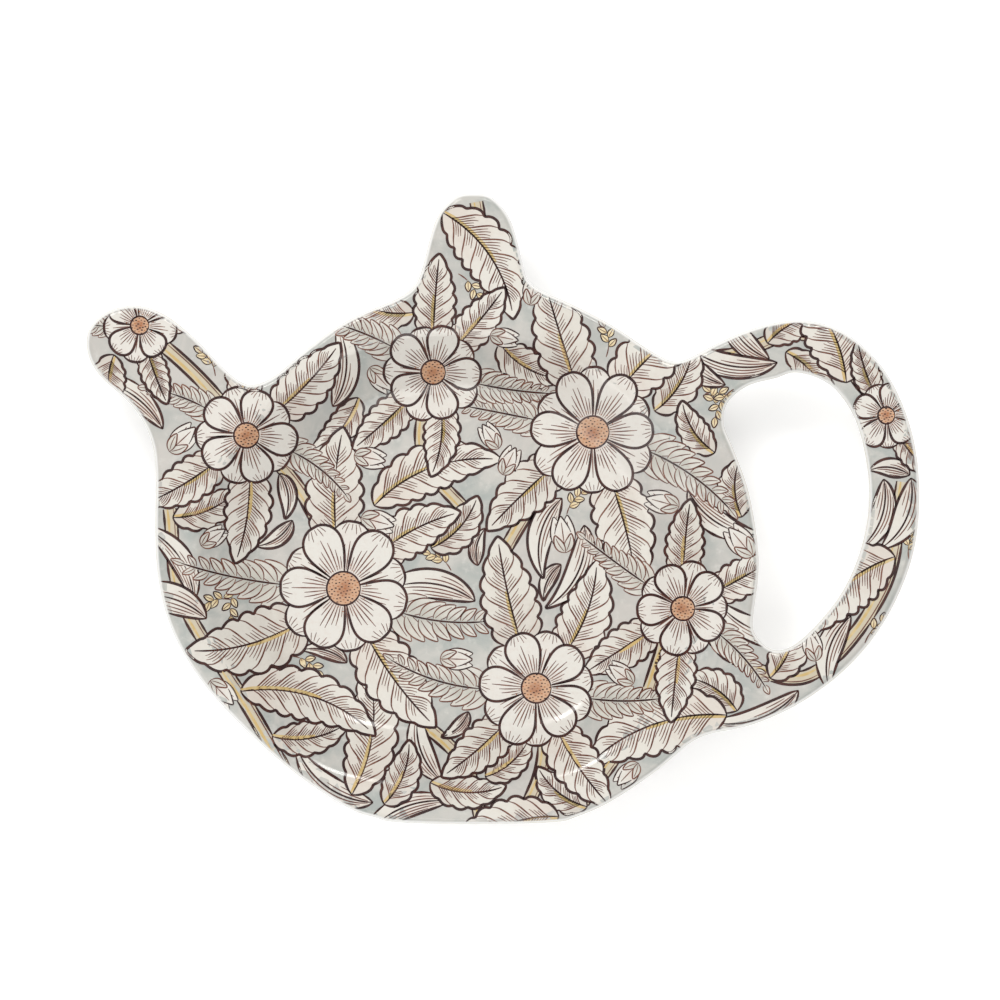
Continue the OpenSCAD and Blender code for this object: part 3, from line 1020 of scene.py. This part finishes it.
class Shader:
    """Adds the nodes of a material and joins them."""

    def __init__(self, name):
        self.material = bpy.data.materials.new(name)
        self.material.use_nodes = True
        self.tree = self.material.node_tree
        self.surface = self.tree.nodes["Principled BSDF"]

    def put(self, socket, value):
        if isinstance(value, bpy.types.NodeSocket):
            self.tree.links.new(value, socket)
        else:
            socket.default_value = value

    def node(self, kind, **inputs):
        """The outputs of a new node with inputs given by name."""
        n = self.tree.nodes.new(kind)
        for name, value in inputs.items():
            self.put(n.inputs[name], value)
        return n.outputs

    def join(self, kind, *values, **settings):
        """The first output of a new node with settings, and with inputs given in their order."""
        n = self.tree.nodes.new(kind)
        for name, value in settings.items():
            setattr(n, name, value)
        for k, value in enumerate(values):
            self.put(n.inputs[k], value)
        return n.outputs[0]

    def noise(self, size, detail=3, rough=0.55, warp=0):
        """Noise from 0 to 1 whose blots are about a size in millimetres."""
        place = self.node("ShaderNodeTexCoord")["Object"]
        look = {"Scale": 1000 / size, "Detail": detail, "Roughness": rough, "Distortion": warp}
        return self.node("ShaderNodeTexNoise", Vector=place, **look)["Fac"]

    def value(self, name):
        n = self.tree.nodes.new("ShaderNodeAttribute")
        n.attribute_name = name
        return n.outputs["Fac"]

    def steps(self, value, low, high, first=0, last=1):
        """A smooth step from first to last while a value goes from low to high."""
        ends = low, high, first, last
        return self.join("ShaderNodeMapRange", value, *ends, interpolation_type="SMOOTHSTEP")

    def math(self, operation, a, b):
        return self.join("ShaderNodeMath", a, b, operation=operation)

    def mix(self, share, a, b):
        n = self.tree.nodes.new("ShaderNodeMix")
        n.data_type = "RGBA"
        for k, value in ((0, share), (6, a), (7, b)):
            self.put(n.inputs[k], value)
        return n.outputs[2]

    def gloss(self, base, faded=True):
        """The material with a base colour, white at the edge if faded, under a faintly wavy gloss."""
        if faded:
            base = self.mix(self.steps(self.value("edge"), *PRINT_FADE), WHITE, base)
        rough = self.steps(self.noise(9, 2), 0.3, 0.7, 0.13, 0.2)
        look = {"Strength": 0.3, "Distance": 0.0003, "Height": self.noise(7, 2, 0.4)}
        wave = self.node("ShaderNodeBump", **look)["Normal"]
        look = {"Strength": 0.1, "Distance": 0.00002, "Height": self.noise(0.5)}
        grain = self.node("ShaderNodeBump", Normal=wave, **look)["Normal"]
        look = {"Base Color": base, "Roughness": rough, "Normal": grain, "IOR": RESIN_IOR}
        for name, value in look.items():
            self.put(self.surface.inputs[name], value)
        return self.material


def melamine():
    """White moulding with a faint warm cloudiness and a few pale flecks."""
    s = Shader("melamine_white")
    cloud = s.steps(s.noise(18), 0.35, 0.7)
    base = s.mix(cloud, WHITE, colour(231, 228, 220))
    fleck = s.steps(s.noise(0.6, 2), 0.72, 0.8, 0, 0.25)
    return s.gloss(s.mix(fleck, base, colour(214, 210, 200)), faded=False)


def ground_wash():
    """The print's ground: a watery grey-green wash, warmer and thinner in blots."""
    s = Shader("print_ground")
    blots = s.steps(s.noise(5.5, 4, 0.6, 0.6), 0.32, 0.68)
    base = s.mix(blots, colour(166, 171, 167), colour(195, 193, 187))
    base = s.mix(s.steps(s.noise(14), 0.4, 0.72, 0, 0.55), base, colour(198, 191, 185))
    pale = s.steps(s.noise(1.6, 4, 0.65), 0.52, 0.75, 0, 0.5)
    return s.gloss(s.mix(pale, base, colour(214, 212, 206)))


def wash_fill(kind):
    """A kind of motif's fill: light, with a wash strongest at its root, broken by blots and grain."""
    light, wash, deep = [colour(*c) for c in FILL_COLOURS[kind]]
    s = Shader("wash_" + kind)
    blots = s.math("MULTIPLY", s.math("SUBTRACT", s.noise(2.6, 4, 0.62, 0.4), 0.5), 0.9)
    broken = s.math("ADD", s.value("wash"), blots)
    base = s.mix(s.steps(broken, 0.3, 0.95, 0, 0.8), light, wash)
    base = s.mix(s.math("MULTIPLY", s.value("tone"), 0.35), base, deep)
    grain = s.steps(s.noise(0.7, 3, 0.7), 0.45, 0.8, 0, 0.3)
    return s.gloss(s.mix(grain, base, wash))


def ink(pen):
    """Pen strokes whose ink is thinner in places."""
    dark, thin = [colour(*c) for c in INK_COLOURS[pen]]
    s = Shader("ink_" + pen)
    base = s.mix(s.steps(s.noise(1.8, 3, 0.6), 0.4, 0.75, 0, 0.8), dark, thin)
    return s.gloss(s.mix(s.steps(s.noise(0.25, 2), 0.5, 0.8, 0, 0.35), base, thin))


# For each kind of fill: the light colour, the wash and what darkens whole motifs
FILL_COLOURS = {
    "stem": ((217, 212, 200), (190, 178, 154), (206, 193, 162)),
    "fern": ((211, 208, 200), (178, 177, 168), (200, 194, 182)),
    "seed": ((227, 214, 180), (205, 178, 128), (217, 196, 150)),
    "cream": ((219, 216, 208), (208, 197, 187), (220, 214, 204)),
    "leaf": ((217, 213, 204), (194, 185, 175), (208, 203, 195)),
    "petal": ((220, 217, 210), (205, 187, 176), (219, 212, 204)),
    "centre": ((203, 164, 134), (158, 102, 70), (184, 130, 92)),
}
# For each pen: the ink where it is full and where it is thin
INK_COLOURS = {
    "bold": ((42, 11, 8), (82, 43, 33)),
    "fine": ((92, 48, 38), (138, 96, 78)),
    "gold": ((198, 170, 112), (214, 196, 156)),
    "amber": ((164, 96, 52), (190, 134, 84)),
}

# The pieces

dish_body = link("dish_body", dish_mesh(), melamine())
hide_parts("dish")
foil_body = link("foil_body", foil_mesh(), ground_wash())
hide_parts("print_foil")

motifs = meadow()
for kind, mesh in fill_meshes(motifs):
    link(mesh.name, mesh, wash_fill(kind))
for pen, mesh in line_meshes(motifs):
    link(mesh.name, mesh, ink(pen))

# Floor, light and camera

# From here on lengths are in metres.
FLOOR_HALF, FLOOR_GAP = 1.5, 0.00002
floor_mesh = bpy.data.meshes.new("floor")
corners = [(x * FLOOR_HALF, y * FLOOR_HALF, -FLOOR_GAP) for x, y in ((-1, -1), (1, -1), (1, 1), (-1, 1))]
floor_mesh.from_pydata(corners, [], [(0, 1, 2, 3)])
floor = show("floor", floor_mesh)
floor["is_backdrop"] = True


def floor_material():
    """Pale matt floor that keeps the shadow, lifted to white where it is seen, and clear from below."""
    s = Shader("floor_pale")
    s.put(s.surface.inputs["Base Color"], (0.84, 0.84, 0.84, 1))
    s.put(s.surface.inputs["Roughness"], 0.9)
    matt = s.surface.outputs[0]
    rays = s.node("ShaderNodeLightPath")
    seen = s.math("MAXIMUM", rays["Is Camera Ray"], rays["Is Glossy Ray"])
    seen = s.math("MAXIMUM", seen, rays["Is Transmission Ray"])
    lift = s.node("ShaderNodeEmission", Strength=0.32)[0]
    lifted = s.join("ShaderNodeMixShader", seen, matt, s.join("ShaderNodeAddShader", matt, lift))
    below = s.math("MULTIPLY", s.node("ShaderNodeNewGeometry")["Backfacing"], rays["Is Camera Ray"])
    clear = s.node("ShaderNodeBsdfTransparent")[0]
    whole = s.join("ShaderNodeMixShader", below, lifted, clear)
    s.put(s.tree.nodes["Material Output"].inputs["Surface"], whole)
    return s.material


floor_mesh.materials.append(floor_material())


def soft_light(name, at, size, watts, tint=(1, 1, 1)):
    """A square soft light that faces the dish."""
    lamp = bpy.data.lights.new(name, "AREA")
    lamp.shape, lamp.size, lamp.energy, lamp.color = "SQUARE", size, watts, tint
    holder = show(name, lamp)
    holder.location = at
    holder.rotation_euler = (-Vector(at)).to_track_quat("-Z", "Y").to_euler()


soft_light("window_north_west", (-0.3, 0.55, 0.55), 0.24, 1.9, (1, 0.99, 0.97))
soft_light("window_north_east", (0.2, 0.6, 0.55), 0.24, 1.9, (1, 0.99, 0.97))
soft_light("overhead_soft", (0, -0.1, 1.5), 0.9, 1.1)
soft_light("fill_south_west", (-0.55, -0.45, 0.5), 0.5, 1.6, (1, 0.99, 0.98))
soft_light("fill_south", (0.1, -0.45, 0.45), 0.4, 1.0, (1, 0.985, 0.96))

world = bpy.data.worlds.new("studio")
world.use_nodes = True
sky = world.node_tree.nodes["Background"].inputs
sky["Color"].default_value, sky["Strength"].default_value = (0.925, 0.92, 0.915, 1), 0.55
scene.world = world
scene.view_settings.view_transform = "Standard"

# The camera looks straight down from far above. VIEW_WIDTH is what it sees at the height of the rim.
CAMERA_HEIGHT, VIEW_WIDTH, CAMERA_AT = 2.0, 0.150, (-0.00045, 0.00131)
camera = bpy.data.cameras.new("camera")
camera.sensor_width = 36
camera.lens = camera.sensor_width * CAMERA_HEIGHT / VIEW_WIDTH
eye = show("camera", camera)
eye.location = (*CAMERA_AT, CAMERA_HEIGHT + RIM_H * MM)
scene.camera = eye

[[list(corner) for corner in box] for box in (cad_box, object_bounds())]
